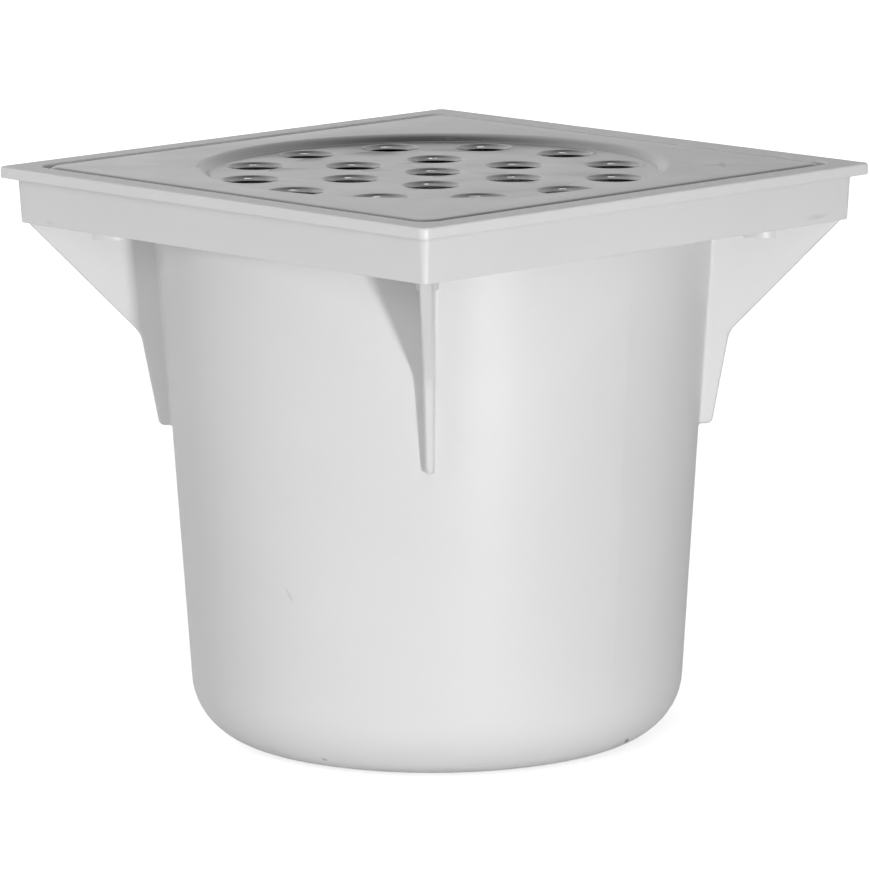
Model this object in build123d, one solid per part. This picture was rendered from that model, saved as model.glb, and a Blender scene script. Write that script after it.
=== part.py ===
from build123d import *
from math import acos, atan, cos, degrees, radians, sin, sqrt, tan
import os

# Floor gully trap, in millimetres. The origin is the centre of the flat base, X and Y run along the
# sides of the square frame and +Z points up to the grate.

# Frame
frame_side = 150.0
total_height = 140.5
frame_depth = 13.8
lip_thickness = 2.8
lip_overhang = 3.0
lip_corner_radius = 2.0
lip_edge_radius = 0.6
lip_foot_radius = 0.3
skirt_draft = 0.7
skirt_root_radius = 1.2
skirt_edge_radius = 0.3
rim_width = 6.5
pocket_corner_radius = 4.5
pocket_edge_radius = 0.5
tray_floor_thickness = 2.8
seat_width = 3.6

# Bucket
bucket_wall = 2.8
bucket_floor = 3.0
bucket_taper = 3.7
bucket_bottom_radius = 15.7
bucket_root_radius = 1.5

# Corner gussets and the thickened lands at their heads
gusset_count = 4
gusset_head_thickness = 3.0
gusset_foot_thickness = 1.8
gusset_tip_inset = 0.15
gusset_kink_drop = 27.4
gusset_kink_stand = 6.0
gusset_kink_radius = 6.0
gusset_foot_drop = 50.2
gusset_foot_stand = 3.2
gusset_foot_radius = 1.6
gusset_edge_radius = 0.75
gusset_root_radius = 0.8
land_length = 9.6
land_height = 4.2
land_stand = 11.6
land_proud = 1.1

# Outlet pipe, moulded in one with the bucket
pipe_diameter = 50.0
socket_clearance = 0.1
socket_depth = 32.0
pipe_stop_width = 2.0
outlet_wall = 2.8
outlet_taper = 0.8
outlet_rim_height = 85.0
outlet_root_radius = 3.0

# Bell
water_seal = 50.0
bell_waterway = 14.0
bell_wall = 2.0
bell_taper = 1.0
bell_headroom = 12.0
bell_shoulder_radius = 9.0
rib_count = 4
rib_thickness = 2.2
rib_tongue_depth = 8.0
rib_tongue_width = 5.0
rib_clearance = 0.5
fin_length = 32.0
fin_height = 11.0
fin_thickness = 3.4
fin_corner_radius = 5.0
fin_edge_radius = 0.8

# Grate
sheet = 0.8
grate_gap = 0.5
grate_corner_radius = 5.6
grate_fold_radius = 2.4
grate_border = 10.2
dish_depth = 1.8
dish_shoulder_radius = 4.2
dish_root_radius = 0.8
dish_margin = 1.3
hole_radius = 6.2
hole_bend_radius = 1.0
hole_rim_depth = 1.75
hole_rim_draft = 10.0
hole_rim_wall = 0.6
inner_hole_count = 6
outer_hole_count = 12
inner_hole_start = 15.0

# Two points closer than this are taken as one
touch = 0.01

# Heights that several pieces share
lip_underside = total_height - lip_thickness
frame_underside = total_height - frame_depth
tray_floor = frame_underside + tray_floor_thickness
bell_ceiling = outlet_rim_height + bell_headroom
bell_top = bell_ceiling + bell_wall
bell_edge = outlet_rim_height - water_seal
grate_top = total_height

# Plan sizes that several pieces share
skirt_head_side = frame_side - 2 * lip_overhang
skirt_foot_side = skirt_head_side - 2 * skirt_draft
pocket_side = frame_side - 2 * rim_width
mouth_radius = pocket_side / 2 - seat_width
socket_radius = pipe_diameter / 2 + socket_clearance
outlet_bore_radius = socket_radius - pipe_stop_width
outlet_foot_radius = socket_radius + outlet_wall
bell_edge_radius = outlet_foot_radius + bell_waterway
grate_side = pocket_side - 2 * grate_gap


def bucket_inner(height):
    """Inner radius of the tapered wall at a height."""
    return mouth_radius - tan(radians(bucket_taper)) * (tray_floor - height)


def bucket_outer(height):
    """Outer radius of the tapered wall at a height."""
    return bucket_inner(height) + bucket_wall / cos(radians(bucket_taper))


def bell_inner(height):
    """Inner radius of the bell's wall at a height."""
    return bell_edge_radius - tan(radians(bell_taper)) * (height - bell_edge)


def turned(points, rounded=None, radius=0.0):
    """Solid turned about +Z from (radius, height) points, with one corner of the outline rounded."""
    face = make_face(Plane.XZ * Polyline(*points, close=True))
    if rounded is not None:
        corner = face.vertices().sort_by_distance((rounded[0], 0, rounded[1]))[0]
        face = fillet(corner, radius)
    return revolve(face, Axis.Z)


def square(side, corner, low, high):
    """Upright block with a rounded square outline."""
    return Pos(0, 0, low) * extrude(RectangleRounded(side, side, corner), high - low)


def fin(points, thickness):
    """Upright plate in the XZ plane, centred on it, from (x, height) points."""
    return extrude(make_face(Plane.XZ * Polyline(*points, close=True)), thickness / 2, both=True)


def reach(edge):
    """How far an edge's middle stands from the frame's centre, along X or Y."""
    return max(abs(edge.center().X), abs(edge.center().Y))


def frame_block():
    """Lip and drafted skirt as one solid block, with its edges and the hollow under the lip rounded."""
    lip = square(frame_side, lip_corner_radius, lip_underside, total_height)
    head = Pos(0, 0, lip_underside) * RectangleRounded(skirt_head_side, skirt_head_side, lip_corner_radius)
    drop = lip_underside - frame_underside
    block = lip + extrude(head, drop, dir=(0, 0, -1), taper=degrees(atan(skirt_draft / drop)))
    under_lip = block.edges().filter_by_position(Axis.Z, lip_underside, lip_underside)
    mid_lip = frame_side / 2 - lip_overhang / 2
    block = fillet(under_lip.filter_by(lambda edge: reach(edge) < mid_lip), skirt_root_radius)
    foot_edges = block.edges().filter_by_position(Axis.Z, frame_underside, frame_underside)
    block = fillet(foot_edges, skirt_edge_radius)
    block = fillet(block.edges().filter_by_position(Axis.Z, total_height, total_height), lip_edge_radius)
    under_lip = block.edges().filter_by_position(Axis.Z, lip_underside, lip_underside)
    return fillet(under_lip.filter_by(lambda edge: reach(edge) > mid_lip), lip_foot_radius)


def bucket_block():
    """Outside of the bucket as a solid, up to the tray floor."""
    corner = (bucket_outer(0), 0)
    points = [(0, 0), corner, (bucket_outer(tray_floor), tray_floor), (0, tray_floor)]
    return turned(points, corner, bucket_bottom_radius)


def bucket_hollow():
    """Room inside the bucket, up to the lip's top."""
    corner = (bucket_inner(bucket_floor), bucket_floor)
    mouth = [(mouth_radius, tray_floor), (mouth_radius, total_height)]
    points = [(0, bucket_floor), corner, *mouth, (0, total_height)]
    return turned(points, corner, bucket_bottom_radius - bucket_wall)


def clear_of_wall(edge):
    """Whether an edge of the gusset along +X stands free of the bucket's wall."""
    return edge.center().X > bucket_outer(edge.center().Z) + gusset_edge_radius


def gusset_plate():
    """One gusset along +X, thinner at its foot, with its free edges rounded."""
    flat_half = skirt_foot_side / 2 - skirt_edge_radius - gusset_tip_inset
    tip = flat_half * sqrt(2) - gusset_head_thickness / 2
    kink = frame_underside - gusset_kink_drop
    foot = frame_underside - gusset_foot_drop
    head = frame_underside + tray_floor_thickness / 2
    sunk = bucket_wall / 2
    toe = bucket_outer(foot) + gusset_foot_stand
    knee = bucket_outer(kink) + gusset_kink_stand
    points = [
        (bucket_outer(foot) - sunk, foot),
        (toe, foot),
        (knee, kink),
        (tip, frame_underside),
        (tip - gusset_head_thickness, head),
        (bucket_outer(head) - sunk, head),
    ]
    plate = fin(points, gusset_head_thickness)
    plate = fillet(plate.edges().filter_by(Axis.Y).sort_by_distance((toe, 0, foot))[0], gusset_foot_radius)
    plate = fillet(plate.edges().filter_by(Axis.Y).sort_by_distance((knee, 0, kink))[0], gusset_kink_radius)
    draft = [
        (-gusset_foot_thickness / 2, foot),
        (gusset_foot_thickness / 2, foot),
        (gusset_head_thickness / 2, head),
        (-gusset_head_thickness / 2, head),
    ]
    plate = plate & extrude(make_face(Plane.YZ * Polyline(*draft, close=True)), tip)
    sides = plate.faces().sort_by(Axis.Y)[0].edges() + plate.faces().sort_by(Axis.Y)[-1].edges()
    below_frame = sides.filter_by(lambda edge: edge.center().Z < frame_underside)
    return fillet(below_frame.filter_by(clear_of_wall), gusset_edge_radius)


def gusset_land():
    """Thickened land at the head of the gusset that runs along +X."""
    head = frame_underside + tray_floor_thickness / 2
    low = frame_underside - land_height
    outline = Ellipse(land_length / 2, gusset_head_thickness / 2 + land_proud)
    return Pos(bucket_outer(frame_underside) + land_stand, 0, low) * extrude(outline, head - low)


def bucket_flare():
    """Rounded ring where the bucket wall runs out under the frame."""
    low = frame_underside - bucket_root_radius
    wall = bucket_outer(low)
    centre = (wall + bucket_root_radius, low)
    sunk = wall - bucket_wall / 2
    outline = [
        CenterArc(centre, bucket_root_radius, 90, 90),
        Line((centre[0], frame_underside), (sunk, frame_underside)),
        Line((sunk, frame_underside), (sunk, low)),
        Line((sunk, low), (wall, low)),
    ]
    return revolve(make_face([Plane.XZ * part for part in outline]), Axis.Z)


def outlet():
    """Outlet pipe as a solid, from the base to its rim."""
    narrowing = tan(radians(outlet_taper)) * (outlet_rim_height - bucket_floor)
    points = [
        (0, 0),
        (outlet_foot_radius, 0),
        (outlet_foot_radius, bucket_floor),
        (outlet_foot_radius - narrowing, outlet_rim_height),
        (0, outlet_rim_height),
    ]
    return turned(points)


def outlet_bore():
    """Socket for the drain pipe, its stop, and the bore above it."""
    points = [
        (0, 0),
        (socket_radius, 0),
        (socket_radius, socket_depth),
        (outlet_bore_radius, socket_depth),
        (outlet_bore_radius, outlet_rim_height),
        (0, outlet_rim_height),
    ]
    return turned(points)


def make_body():
    """The whole moulding."""
    places = PolarLocations(0, gusset_count, 180 / gusset_count)
    bucket = bucket_block()
    plates = [place * gusset_plate() for place in places]
    cone = bucket.faces().filter_by(GeomType.CONE)[0]
    shell = bucket + plates
    on_wall = shell.edges().filter_by(lambda edge: cone.distance_to(edge.center()) < touch)
    own_edges = (GeomType.CIRCLE, GeomType.LINE)
    shell = fillet(on_wall.filter_by(lambda edge: edge.geom_type not in own_edges), gusset_root_radius)
    shell = shell + frame_block() + bucket_flare() + [place * gusset_land() for place in places]
    pocket = square(pocket_side, pocket_corner_radius, tray_floor, total_height)
    shell = shell - bucket_hollow() - pocket + outlet()
    top = shell.faces().sort_by(Axis.Z)[-1]
    shell = fillet(top.inner_wires()[0].edges(), pocket_edge_radius)
    circles = shell.edges().filter_by(GeomType.CIRCLE)
    root = circles.filter_by_position(Axis.Z, bucket_floor, bucket_floor).sort_by(SortBy.RADIUS)[0]
    shell = fillet(root, outlet_root_radius)
    return shell - outlet_bore()


def bell_cup():
    """Bell wall and top, without ribs."""
    slant = bell_wall / cos(radians(bell_taper))
    crown = (bell_inner(bell_top) + slant, bell_top)
    outside = turned([(0, bell_edge), (bell_inner(bell_edge) + slant, bell_edge), crown, (0, bell_top)],
                     crown, bell_shoulder_radius)
    crown = (bell_inner(bell_ceiling), bell_ceiling)
    inside = turned([(0, bell_edge), (bell_inner(bell_edge), bell_edge), crown, (0, bell_ceiling)],
                    crown, bell_shoulder_radius - bell_wall)
    return outside - inside


def bell_rib():
    """One rib along +X: it rests on the pipe's rim and its tongue centres the bell in the bore."""
    tongue = outlet_bore_radius - rib_clearance
    root = bell_inner(outlet_rim_height) + bell_wall / 2
    buried = bell_ceiling + bell_wall / 2
    points = [
        (tongue - rib_tongue_width, buried),
        (tongue - rib_tongue_width, outlet_rim_height - rib_tongue_depth),
        (tongue, outlet_rim_height - rib_tongue_depth),
        (tongue, outlet_rim_height),
        (root, outlet_rim_height),
        (root, buried - bell_shoulder_radius),
        (root - bell_shoulder_radius, buried),
    ]
    return fin(points, rib_thickness)


def make_bell():
    """Bell with its ribs and lifting fin."""
    bell = bell_cup()
    for place in PolarLocations(0, rib_count, 180 / rib_count):
        bell = bell + place * bell_rib()
    half = fin_length / 2
    crest = bell_top + fin_height
    buried = bell_ceiling + bell_wall / 2
    grip = fin([(-half, buried), (half, buried), (half, crest), (-half, crest)], fin_thickness)
    corners = grip.edges().filter_by(Axis.Y).group_by(Axis.Z)[-1]
    grip = fillet(corners, fin_corner_radius)
    rims = grip.faces().sort_by(Axis.Y)[0].edges() + grip.faces().sort_by(Axis.Y)[-1].edges()
    grip = fillet(rims.filter_by(lambda edge: edge.center().Z > bell_top), fin_edge_radius)
    return bell + grip


def pan():
    """Flat sheet with its rim folded down onto the tray floor."""
    outside = square(grate_side, grate_corner_radius, tray_floor, grate_top)
    outside = fillet(outside.faces().sort_by(Axis.Z)[-1].edges(), grate_fold_radius)
    inside = square(grate_side - 2 * sheet, grate_corner_radius - sheet, tray_floor, grate_top - sheet)
    inside = fillet(inside.faces().sort_by(Axis.Z)[-1].edges(), grate_fold_radius - sheet)
    return outside - inside


def dish_swing():
    """Angle of the dish's slope where its two bends meet."""
    return acos(1 - dish_depth / (dish_shoulder_radius + dish_root_radius))


def dish(rim, floor, floor_top):
    """Dished middle of the sheet, turned about +Z, from the rim radius in."""
    turn = degrees(dish_swing())
    upper = (rim, grate_top - dish_shoulder_radius)
    lower = (floor, floor_top + dish_root_radius)
    outline = [
        Line((0, floor_top), (floor, floor_top)),
        CenterArc(lower, dish_root_radius, -90, turn),
        CenterArc(upper, dish_shoulder_radius, 90, turn),
        Line((rim, grate_top), (rim, grate_top - sheet)),
        CenterArc(upper, dish_shoulder_radius - sheet, 90, turn),
        CenterArc(lower, dish_root_radius + sheet, -90, turn),
        Line((floor, floor_top - sheet), (0, floor_top - sheet)),
        Line((0, floor_top - sheet), (0, floor_top)),
    ]
    return revolve(make_face([Plane.XZ * part for part in outline]), Axis.Z)


def hole_wall(depth):
    """Radius of a hole's drawn-down wall at a depth below the dish's floor."""
    return hole_radius + tan(radians(hole_rim_draft)) * (hole_rim_depth - depth)


def hole_edge():
    """Radius where the dish's floor starts to bend down into a hole."""
    turn = radians(hole_rim_draft)
    return hole_wall(hole_bend_radius * (1 - sin(turn))) + hole_bend_radius * cos(turn)


def hole_rim(floor_top):
    """Drawn-down edge of one hole, turned about +Z."""
    bend = floor_top - hole_bend_radius * (1 - sin(radians(hole_rim_draft)))
    foot = floor_top - hole_rim_depth
    under = floor_top - sheet
    inner = hole_wall(floor_top - bend)
    outer = hole_wall(sheet) + hole_rim_wall
    outline = [
        CenterArc((hole_edge(), floor_top - hole_bend_radius), hole_bend_radius, 90, 90 - hole_rim_draft),
        Line((inner, bend), (hole_radius, foot)),
        Line((hole_radius, foot), (hole_radius + hole_rim_wall, foot)),
        Line((hole_radius + hole_rim_wall, foot), (outer, under)),
        Line((outer, under), (hole_edge(), under)),
        Line((hole_edge(), under), (hole_edge(), floor_top)),
    ]
    return revolve(make_face([Plane.XZ * part for part in outline]), Axis.Z)


def make_grate():
    """Pressed steel grate."""
    rim = grate_side / 2 - grate_border
    floor = rim - (dish_shoulder_radius + dish_root_radius) * sin(dish_swing())
    floor_top = grate_top - dish_depth
    outer_ring = floor - dish_margin - hole_edge()
    inner_ring = outer_ring / 2
    places = [Pos(0, 0, 0)]
    places += PolarLocations(inner_ring, inner_hole_count, inner_hole_start)
    places += PolarLocations(outer_ring, outer_hole_count)
    plate = pan() - Pos(0, 0, tray_floor) * extrude(Circle(rim), total_height - tray_floor)
    plate = plate + dish(rim, floor, floor_top)
    cutter = Pos(0, 0, tray_floor) * extrude(Circle(hole_edge()), total_height - tray_floor)
    plate = plate - [place * cutter for place in places]
    return plate + [place * hole_rim(floor_top) for place in places]


pieces = {"gully_body": make_body(), "trap_bell": make_bell(), "grate": make_grate()}
os.makedirs("parts", exist_ok=True)
for name, piece in pieces.items():
    export_step(piece, f"parts/{name}.step")
    print(name, round(piece.volume), [round(v, 2) for v in piece.bounding_box().size])
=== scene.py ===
# %% [markdown]
# This is a floor gully trap. It has a plastic bucket moulded in one with a square frame, a bell that sits
# over the outlet pipe inside it, and a pressed steel grate that lies flush in the frame. The solids come
# from the part's own model, in metres, with the origin at the centre of the base. Modelling them again
# would only add error, so this lesson loads them and gives them what they lack: plastic with the faint
# unevenness of a moulding, rolled steel, the light of a small studio, and a camera.

# %% Load the solids
import bpy
from math import cos, radians, sin
from mathutils import Matrix, Vector


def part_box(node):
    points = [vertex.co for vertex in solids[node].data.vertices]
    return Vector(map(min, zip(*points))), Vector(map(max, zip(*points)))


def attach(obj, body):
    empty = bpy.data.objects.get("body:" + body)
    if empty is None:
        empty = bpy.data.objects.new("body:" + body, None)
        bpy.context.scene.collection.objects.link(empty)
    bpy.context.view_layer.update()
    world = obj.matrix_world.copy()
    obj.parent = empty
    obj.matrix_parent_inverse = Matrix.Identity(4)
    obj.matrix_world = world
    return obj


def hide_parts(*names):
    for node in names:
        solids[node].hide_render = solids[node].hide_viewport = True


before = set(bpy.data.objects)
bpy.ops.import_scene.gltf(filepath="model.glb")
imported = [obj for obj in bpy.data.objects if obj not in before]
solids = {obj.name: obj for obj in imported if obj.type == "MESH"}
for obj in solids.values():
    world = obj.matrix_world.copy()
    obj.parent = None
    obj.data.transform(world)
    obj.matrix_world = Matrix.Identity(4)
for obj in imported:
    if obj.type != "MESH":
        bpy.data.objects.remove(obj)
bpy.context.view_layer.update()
frame_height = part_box("gully_body")[1].z
print("solids:", sorted(solids), "height", round(frame_height, 4))

# %% [markdown]
# A finish in Blender is a tree of nodes. It could be wired by hand in the Shader Editor, but a script that
# sets every socket on a line of its own is long and hard to follow. This helper adds a node, sets the
# sockets that are plain values and links those that another node feeds. A socket is given by its name, or
# by an underscore and its number where several sockets share a name.

# %% A helper for nodes
def add_node(tree, kind, settings=None, **sockets):
    node = tree.nodes.new(kind)
    for name, value in (settings or {}).items():
        setattr(node, name, value)
    for name, value in sockets.items():
        socket = node.inputs[int(name[1:])] if name[1:].isdigit() else node.inputs[name.replace("_", " ")]
        if isinstance(value, bpy.types.NodeSocket):
            tree.links.new(value, socket)
        else:
            socket.default_value = value
    return node


print("helper:", add_node.__name__)

# %% [markdown]
# Every finish below starts from the same few parts. A noise on Object coordinates is fixed to the piece, so
# it neither slides nor stretches. Its values crowd round the middle, so the middle band is stretched before
# it shades a grey or a gloss by a small share up and down.

# %% Parts of a finish
noise_low, noise_high = 0.3, 0.7


def new_material(name):
    material = bpy.data.materials.new(name)
    material.use_nodes = True
    tree = material.node_tree
    place = add_node(tree, "ShaderNodeTexCoord").outputs["Object"]
    return material, tree, tree.nodes["Principled BSDF"], place


def noise(tree, place, scale, detail):
    return add_node(tree, "ShaderNodeTexNoise", Vector=place, Scale=scale, Detail=detail).outputs["Fac"]


def around(tree, value, middle, share):
    band = add_node(tree, "ShaderNodeMapRange", Value=value, From_Min=noise_low, From_Max=noise_high,
                    To_Min=middle * (1 - share), To_Max=middle * (1 + share))
    return band.outputs["Result"]


def grey_of(tree, value):
    return add_node(tree, "ShaderNodeCombineColor", Red=value, Green=value, Blue=value).outputs["Color"]


print("noise from", noise_low, "to", noise_high, "is stretched")

# %% [markdown]
# This gully has been handled. There is a short scuff on the bucket, two nicks at its foot, one with a rub
# beside it, and a smudge on the steel, and the skirt has two faint darker dashes. Each could be painted on a
# picture, but a picture needs an unwrapped mesh. An oval patch in space needs none: the coordinates are
# moved, turned and scaled until the patch is a ball of radius 1 about the origin, and the distance from
# there says how strong it is.

# %% A helper for marks
mark_core = 0.3


def patch(spot, reach, depth, lean=0.0, turn=0.0):
    return Vector(spot), (0.0, radians(lean), radians(turn)), reach, depth


def darker(tree, value, mask, depth):
    left = add_node(tree, "ShaderNodeMath", {"operation": "MULTIPLY_ADD"}, _0=mask, _1=-depth, _2=1.0)
    rest = add_node(tree, "ShaderNodeMath", {"operation": "MULTIPLY"}, _0=value, _1=left.outputs[0])
    return rest.outputs[0]


def marked(tree, place, value, marks):
    for spot, turned, reach, depth in marks:
        local = add_node(tree, "ShaderNodeMapping", {"vector_type": "TEXTURE"}, Vector=place, Location=spot,
                         Rotation=turned, Scale=reach).outputs["Vector"]
        away = add_node(tree, "ShaderNodeVectorMath", {"operation": "LENGTH"}, _0=local).outputs["Value"]
        fade = add_node(tree, "ShaderNodeMapRange", {"interpolation_type": "SMOOTHSTEP"}, Value=away,
                        From_Min=mark_core, From_Max=1.0, To_Min=1.0, To_Max=0.0).outputs["Result"]
        value = darker(tree, value, fade, depth)
    return value


print("a mark is full to", mark_core, "of its reach and fades from there")

# %% [markdown]
# The moulding is a pale grey plastic with a satin skin. Up close such a skin has three kinds of unevenness:
# a soft cloudiness in the colour, slow waves where the wall shrank as it cooled, and a fine grain left by
# the mould's steel. A flat colour would look like plaster, so each of the three is a noise of its own size.

# %% Moulded plastic
cloud_scale, cloud_detail, cloud_share = 22.0, 3.0, 0.015
sheen_scale, sheen_detail, sheen_share = 70.0, 3.0, 0.07
wave_scale, wave_detail, wave_strength, wave_height = 38.0, 1.0, 0.25, 0.0004
grain_scale, grain_detail, grain_strength, grain_height = 2200.0, 2.0, 0.12, 0.00006


def moulded_plastic(name, grey, gloss, marks):
    material, tree, skin, place = new_material(name)
    cloud = around(tree, noise(tree, place, cloud_scale, cloud_detail), grey, cloud_share)
    tree.links.new(grey_of(tree, marked(tree, place, cloud, marks)), skin.inputs["Base Color"])
    sheen = around(tree, noise(tree, place, sheen_scale, sheen_detail), gloss, sheen_share)
    tree.links.new(sheen, skin.inputs["Roughness"])
    waves = noise(tree, place, wave_scale, wave_detail)
    slow = add_node(tree, "ShaderNodeBump", Height=waves, Strength=wave_strength, Distance=wave_height)
    grain = noise(tree, place, grain_scale, grain_detail)
    fine = add_node(tree, "ShaderNodeBump", Height=grain, Strength=grain_strength, Distance=grain_height,
                    Normal=slow.outputs["Normal"])
    tree.links.new(fine.outputs["Normal"], skin.inputs["Normal"])
    return material


plastic_gloss = 0.36
bell_grey = 0.70
bell_plastic = moulded_plastic("bell plastic", bell_grey, plastic_gloss, ())
print("plastic:", bell_plastic.name)

# %% [markdown]
# The bucket and its frame carry the marks. Each is placed where it shows on the real one: the scuff leans
# over on the left of the bucket, the nicks lie where the wall turns under, and two faint darker dashes lie
# on the skirt beside the gussets. At the foot on the right the wall is seen almost edge on, so the patches
# there are long in the direction of view.

# %% Marks on the moulding
scuff = patch(spot=(0.0129, -0.0608, 0.0447), reach=(0.0005, 0.002, 0.0026), depth=0.14, lean=-31, turn=12)
left_nick = patch(spot=(0.0156, -0.0525, 0.0037), reach=(0.0010, 0.002, 0.0006), depth=0.35, turn=17)
right_nick = patch(spot=(0.0531, 0.0124, 0.0037), reach=(0.0008, 0.0045, 0.002), depth=0.7, turn=46)
right_rub = patch(spot=(0.0536, 0.0092, 0.0033), reach=(0.0022, 0.004, 0.0015), depth=0.15, turn=46)
# The two skirt dashes only darken the colour in faint strokes near the skirt's lower edge beside the
# gussets.
right_skirt_dash = patch(spot=(0.0714, 0.0594, 0.1285), reach=(0.002, 0.0045, 0.0008), depth=0.11)
left_skirt_dash = patch(spot=(-0.0600, -0.0714, 0.1277), reach=(0.0022, 0.002, 0.0006), depth=0.08)
body_marks = (scuff, left_nick, right_nick, right_rub, right_skirt_dash, left_skirt_dash)
body_grey = 0.78
body_plastic = moulded_plastic("pale moulded plastic", body_grey, plastic_gloss, body_marks)
print("plastic:", body_plastic.name, "with", len(body_marks), "marks")

# %% [markdown]
# The grate is pressed from cold-rolled stainless sheet. Rolling leaves a dull mirror with very fine lines
# along the sheet, and pressing leaves it not quite flat. A brushed picture would repeat, so the lines are a
# noise squeezed across the rolling direction, and the pressing is a slow, shallow bump. The fold at the rim
# is painted darker, as painted shade for the shadow in the gap between grate and frame; the larger of the
# two distances from the middle says where that painted shade begins.

# %% Rolled steel
rolling = (60.0, 2600.0, 2600.0)
line_detail, line_share, line_strength, line_height = 4.0, 0.05, 0.03, 0.00002
mottle_scale, mottle_detail, mottle_share = 45.0, 4.0, 0.15
press_scale, press_detail, press_strength, press_height = 16.0, 1.0, 0.2, 0.0003
grate_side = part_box("grate")[1].x
# Painted shade: the fold at the rim is darkened from here, standing in for the shadow of the gap between
# grate and frame.
gap_shade_start, gap_shade_full = grate_side - 0.0018, grate_side - 0.0011
painted_gap_shade_depth = 0.43


# The mask of the painted shade over the fold, where the gap's shadow is painted into the steel's colour.
def painted_gap_shade(tree, place):
    spot = add_node(tree, "ShaderNodeVectorMath", {"operation": "ABSOLUTE"}, _0=place).outputs["Vector"]
    side = add_node(tree, "ShaderNodeSeparateXYZ", Vector=spot).outputs
    out = add_node(tree, "ShaderNodeMath", {"operation": "MAXIMUM"}, _0=side["X"], _1=side["Y"]).outputs[0]
    fold = add_node(tree, "ShaderNodeMapRange", Value=out, From_Min=gap_shade_start, From_Max=gap_shade_full)
    return fold.outputs["Result"]


def rolled_steel(name, grey, gloss, marks):
    material, tree, skin, place = new_material(name)
    rolled = add_node(tree, "ShaderNodeMapping", Vector=place, Scale=rolling).outputs["Vector"]
    lines = noise(tree, rolled, 1.0, line_detail)
    shade = marked(tree, place, around(tree, lines, grey, line_share), marks)
    # Painted shade of the gap between grate and frame, laid over the fold.
    shade = darker(tree, shade, painted_gap_shade(tree, place), painted_gap_shade_depth)
    tree.links.new(grey_of(tree, shade), skin.inputs["Base Color"])
    mottle = around(tree, noise(tree, place, mottle_scale, mottle_detail), gloss, mottle_share)
    tree.links.new(mottle, skin.inputs["Roughness"])
    pressed = noise(tree, place, press_scale, press_detail)
    slow = add_node(tree, "ShaderNodeBump", Height=pressed, Strength=press_strength, Distance=press_height)
    fine = add_node(tree, "ShaderNodeBump", Height=lines, Strength=line_strength, Distance=line_height,
                    Normal=slow.outputs["Normal"])
    tree.links.new(fine.outputs["Normal"], skin.inputs["Normal"])
    skin.inputs["Metallic"].default_value = 1.0
    return material


smudge = patch(spot=(0.0511, 0.0479, 0.1405), reach=(0.0011, 0.0055, 0.002), depth=0.28, turn=46)
smudge_tail = patch(spot=(0.0500, 0.0456, 0.1405), reach=(0.0013, 0.0032, 0.002), depth=0.2, turn=-25)
steel_grey, steel_gloss = 0.56, 0.22
grate_steel = rolled_steel("rolled steel", steel_grey, steel_gloss, (smudge, smudge_tail))
print("steel:", grate_steel.name, "with a fold from", round(gap_shade_start, 4))

# %% [markdown]
# Each hole of the grate is drawn down into a short rim, and in the photograph a dark sliver of the inside
# shows under the far rim. On the solid the rims are a little longer and hide it. The solid itself stays as
# it is, so a copy takes its place. The copy's triangles are loose, and merging the points that coincide
# makes one skin of them, which a Boolean needs.

# %% Copy the grate
merge_distance = 0.000001
sheet = bpy.data.objects.new("grate_sheet", solids["grate"].data.copy())
bpy.context.collection.objects.link(sheet)
loose = len(sheet.data.vertices)
bpy.ops.object.select_all(action="DESELECT")
sheet.select_set(True)
bpy.context.view_layer.objects.active = sheet
bpy.ops.object.mode_set(mode="EDIT")
bpy.ops.mesh.select_all(action="SELECT")
bpy.ops.mesh.remove_doubles(threshold=merge_distance)
bpy.ops.object.mode_set(mode="OBJECT")
print("points:", loose, "loose,", len(sheet.data.vertices), "merged")

# %% [markdown]
# The rims could be pushed up point by point, but that would squeeze their draft. Cutting them is closer to
# the press: a flat drum is set under the dish, and a Boolean takes away what reaches into it. The skin is
# then shaded smooth, so that the bends show no facets, with sharp edges kept where faces meet at more than
# 30 degrees.

# %% Trim the hole rims
rim_reach = 0.0030
drum_radius, drum_tall, drum_sides = 0.055, 0.002, 64
smooth_angle = radians(30)
drum_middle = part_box("grate")[1].z - rim_reach - drum_tall / 2
bpy.ops.object.select_all(action="DESELECT")
bpy.ops.mesh.primitive_cylinder_add(vertices=drum_sides, radius=drum_radius, depth=drum_tall,
                                    location=(0, 0, drum_middle))
drum = bpy.context.object
bpy.ops.object.select_all(action="DESELECT")
sheet.select_set(True)
bpy.context.view_layer.objects.active = sheet
trim = sheet.modifiers.new("trim", "BOOLEAN")
trim.operation, trim.solver, trim.object = "DIFFERENCE", "EXACT", drum
bpy.ops.object.modifier_apply(modifier=trim.name)
bpy.ops.object.shade_smooth_by_angle(angle=smooth_angle)
bpy.data.objects.remove(drum)
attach(sheet, "root")
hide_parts("grate")
sheet_foot = min(point.co.z for point in sheet.data.vertices)
print("grate sheet:", len(sheet.data.polygons), "faces, lowest", round(sheet_foot, 4))

# %% [markdown]
# The moulding and the bell keep their shape and only change their skin, and the trimmed sheet takes the
# steel. The solid of the grate, which the sheet stands in for, gets the same steel.

# %% Dress the pieces
dressed = ((solids["gully_body"], body_plastic), (solids["trap_bell"], bell_plastic),
           (solids["grate"], grate_steel), (sheet, grate_steel))
for piece, material in dressed:
    piece.data.materials.clear()
    piece.data.materials.append(material)
    print(piece.name, "has", len(piece.data.polygons), "faces")

# %% [markdown]
# A studio shows the eye one thing and the object another: the background is white, but a white room all
# round would wash the shading out. The Light Path node tells the rays apart. This helper gives a share of 1
# or less to the rays that come from the camera, and another to those that come from a reflection or through
# glass.

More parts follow.
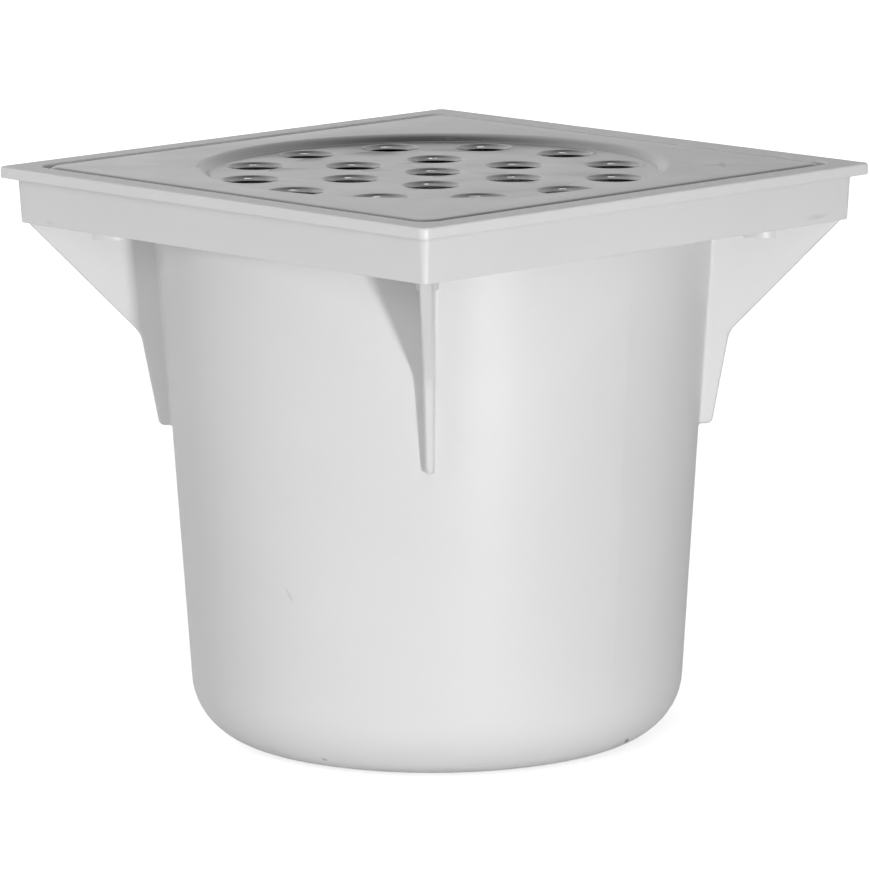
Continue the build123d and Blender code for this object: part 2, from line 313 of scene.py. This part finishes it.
# %% A helper for rays
def ray_is(tree, camera, mirror):
    path = add_node(tree, "ShaderNodeLightPath").outputs
    kinds = ((path["Is Camera Ray"], camera), (path["Is Glossy Ray"], mirror),
             (path["Is Transmission Ray"], mirror))
    total = 0.0
    for kind, share in kinds:
        sum_up = add_node(tree, "ShaderNodeMath", {"operation": "MULTIPLY_ADD"}, _0=kind, _1=share, _2=total)
        total = sum_up.outputs[0]
    return total


print("helper:", ray_is.__name__)

# %% [markdown]
# The floor is a plain pale sheet, a hair below the base so that the two faces don't fight. A curved
# backdrop would hide the horizon too, but a flat sheet is simpler. It is lit like everything else, so it
# keeps the shadow, and it glows for the rays that come from the camera or from a reflection. The glow grows
# with the distance until the sheet is white, so no horizon shows. From below the sheet lets the eye
# through.

# %% Floor
floor_size, floor_drop = 8.0, 0.0002
near_glow, far_glow = 0.7, 1.0
glow_start, glow_end = 0.3, 1.5
mirror_share = 0.18
paper_grey, paper_spread, paper_scale, paper_detail = 0.85, 0.01, 6.0, 2.0
paper_rough = 0.95
bpy.ops.object.select_all(action="DESELECT")
bpy.ops.mesh.primitive_plane_add(size=floor_size, location=(0, 0, -floor_drop))
floor = bpy.context.object
floor.name = "floor"
paper, tree, paper_skin, place = new_material("white paper")
fibres = around(tree, noise(tree, place, paper_scale, paper_detail), paper_grey, paper_spread / paper_grey)
tree.links.new(grey_of(tree, fibres), paper_skin.inputs["Base Color"])
paper_skin.inputs["Roughness"].default_value = paper_rough
paper_skin.inputs["Specular IOR Level"].default_value = 0.0
away = add_node(tree, "ShaderNodeVectorMath", {"operation": "LENGTH"}, _0=place).outputs["Value"]
strength = add_node(tree, "ShaderNodeMapRange", {"interpolation_type": "SMOOTHSTEP"}, Value=away,
                    From_Min=glow_start, From_Max=glow_end, To_Min=near_glow, To_Max=far_glow)
shown = add_node(tree, "ShaderNodeMath", {"operation": "MULTIPLY"}, _0=strength.outputs["Result"],
                 _1=ray_is(tree, 1.0, mirror_share))
glow = add_node(tree, "ShaderNodeEmission", Strength=shown.outputs[0])
lit = add_node(tree, "ShaderNodeAddShader", _0=paper_skin.outputs[0], _1=glow.outputs[0])
below = add_node(tree, "ShaderNodeNewGeometry").outputs["Backfacing"]
through = add_node(tree, "ShaderNodeBsdfTransparent")
one_way = add_node(tree, "ShaderNodeMixShader", _0=below, _1=lit.outputs[0], _2=through.outputs[0])
tree.links.new(one_way.outputs[0], tree.nodes["Material Output"].inputs["Surface"])
floor.data.materials.append(paper)
print("floor", floor_size, "m square")

# %% [markdown]
# The photograph has one small lamp a little to the right of the lens and no higher than the object: each
# gusset throws a narrow shadow to its left, and the frame throws none on the bucket. Everything else is
# soft fill, so it comes from wide lamps that the steel doesn't mirror. A softbox stands at a turn from the
# camera's side and faces the middle of the object.

# %% A helper for lamps
photo_azimuth = 46.199


def direction(azimuth, elevation):
    turn, rise = radians(azimuth), radians(elevation)
    return Vector((sin(turn) * cos(rise), -cos(turn) * cos(rise), sin(rise)))


def softbox(name, turn, height, distance, width, tall, watts, mirrored=False):
    lamp = bpy.data.lights.new(name, "AREA")
    lamp.shape = "RECTANGLE"
    lamp.size, lamp.size_y, lamp.energy = width, tall, watts
    box = bpy.data.objects.new(name, lamp)
    bpy.context.collection.objects.link(box)
    spot = direction(photo_azimuth + turn, 0) * distance + Vector((0, 0, height))
    aim = spot - Vector((0, 0, frame_height / 2))
    box.matrix_world = Matrix.Translation(spot) @ aim.to_track_quat("Z", "Y").to_matrix().to_4x4()
    box.visible_glossy = mirrored
    return box


print("camera side at", photo_azimuth, "degrees")

# %% [markdown]
# The small lamp makes the shadows and the bright stripe down the bucket. The glint lamp lights nothing by
# itself: it is only mirrored, as the bright spot in each hole. The wide lamps lighten the front, the left
# and the top, and those behind keep the far side from going dark.

# %% Lamps
softbox("key", turn=22, height=0.03, distance=1.1, width=0.088, tall=0.055, watts=5.1, mirrored=True)
glint = softbox("glint", turn=16, height=1.08, distance=1.5, width=0.8, tall=0.25, watts=1.5, mirrored=True)
glint.visible_diffuse = False
softbox("front", turn=0, height=1.0, distance=2.0, width=1.2, tall=0.8, watts=5.6)
softbox("front overhead", turn=10, height=2.0, distance=1.4, width=1.0, tall=1.0, watts=7.8)
softbox("top", turn=0, height=2.2, distance=0.2, width=0.8, tall=0.8, watts=3.4)
softbox("left", turn=-78, height=0.75, distance=2.0, width=1.2, tall=1.0, watts=6.9)
softbox("low left", turn=-55, height=0.3, distance=2.0, width=1.0, tall=0.5, watts=3.4)
softbox("near left", turn=-100, height=0.6, distance=0.7, width=0.5, tall=0.4, watts=0.5)
softbox("back left", turn=-150, height=0.7, distance=2.0, width=1.2, tall=1.0, watts=4.0)
softbox("back right", turn=150, height=0.7, distance=2.0, width=1.2, tall=1.0, watts=2.0)
softbox("low back", turn=180, height=0.3, distance=2.0, width=0.8, tall=0.4, watts=13.0)

# %% [markdown]
# The room lights the object a little from the sides, and it is what the steel mirrors. It is bright near
# the ground and dark overhead, which is why the sloping edge of the dish looks almost black. A photographed
# room would bring a picture file, so two ramps over the height of a ray stand in for it, one for lighting
# and one for mirroring. The mirrored room is dimmer behind the camera, and towards the right.

# %% Room
world = bpy.context.scene.world or bpy.data.worlds.new("room")
bpy.context.scene.world = world
world.use_nodes = True
room = world.node_tree
ray = add_node(room, "ShaderNodeTexCoord").outputs["Generated"]
rise = add_node(room, "ShaderNodeSeparateXYZ", Vector=ray).outputs["Z"]


def by_height(stops):
    ramp = add_node(room, "ShaderNodeValToRGB", Fac=rise)
    points = ramp.color_ramp.elements
    while len(points) < len(stops):
        points.new(1.0)
    for point, (height, level) in zip(points, stops):
        point.position = height
        point.color = (level, level, level, 1)
    return ramp.outputs["Color"]


def by_side(azimuth, start, end, start_level, end_level):
    along = add_node(room, "ShaderNodeVectorMath", {"operation": "DOT_PRODUCT"}, _0=ray,
                     _1=direction(azimuth, 0))
    level = add_node(room, "ShaderNodeMapRange", Value=along.outputs["Value"], From_Min=start, From_Max=end,
                     To_Min=start_level, To_Max=end_level)
    return level.outputs["Result"]


lighting = by_height([(0.3, 0.2), (0.57, 0.2), (0.6, 0.0)])
mirrored = by_height([(0.15, 0.64), (0.56, 0.46), (0.77, 0.38), (0.88, 0.28), (0.95, 0.19), (1.0, 0.1)])
to_camera = by_side(photo_azimuth, start=-0.2, end=0.4, start_level=1.0, end_level=0.75)
to_right = by_side(photo_azimuth + 90, start=-0.1, end=0.1, start_level=1.16, end_level=0.84)
level = add_node(room, "ShaderNodeMath", {"operation": "MULTIPLY"}, _0=to_camera, _1=to_right).outputs[0]
dimmed = add_node(room, "ShaderNodeVectorMath", {"operation": "SCALE"}, _0=mirrored, Scale=level)
inside = add_node(room, "ShaderNodeMix", {"data_type": "RGBA"}, Factor=ray_is(room, 0.0, 1.0), _6=lighting,
                  _7=dimmed.outputs["Vector"])
white = (1.0, 1.0, 1.0, 1.0)
sky = add_node(room, "ShaderNodeMix", {"data_type": "RGBA"}, Factor=ray_is(room, 1.0, 0.0),
               _6=inside.outputs[2], _7=white)
room.links.new(sky.outputs[2], room.nodes["Background"].inputs["Color"])
room.nodes["Background"].inputs["Strength"].default_value = 1.0
print("room:", len(room.nodes), "nodes")

# %% [markdown]
# The camera stands where the photograph was taken: a long lens, a little above the frame, looking almost
# along the diagonal of the square. A Track To constraint could aim it, but it couldn't hold the slight
# roll, so the three directions of the camera are worked out and set as its matrix.

# %% Camera
photo_elevation, photo_roll = 10.274, radians(-0.394)
photo_distance, aim_height, aim_side = 1.57188, 0.07377, -0.000118
photo_pixels, focal_pixels, sensor = 870, 6429.6, 36.0
back = direction(photo_azimuth, photo_elevation)
right = direction(photo_azimuth + 90, 0)
up = back.cross(right)
across = right * cos(photo_roll) + up * sin(photo_roll)
upward = up * cos(photo_roll) - right * sin(photo_roll)
stand = Vector((0, 0, aim_height)) + back * photo_distance + right * aim_side
lens = bpy.data.cameras.new("photo view")
lens.sensor_width = sensor
lens.lens = sensor * focal_pixels / photo_pixels
camera = bpy.data.objects.new("photo view", lens)
bpy.context.collection.objects.link(camera)
camera.matrix_world = Matrix.Translation(stand) @ Matrix((across, upward, back)).transposed().to_4x4()
bpy.context.scene.camera = camera
bpy.context.scene.view_settings.view_transform = "Standard"
print("lens", round(lens.lens, 1), "mm at", round(photo_distance, 3), "m")
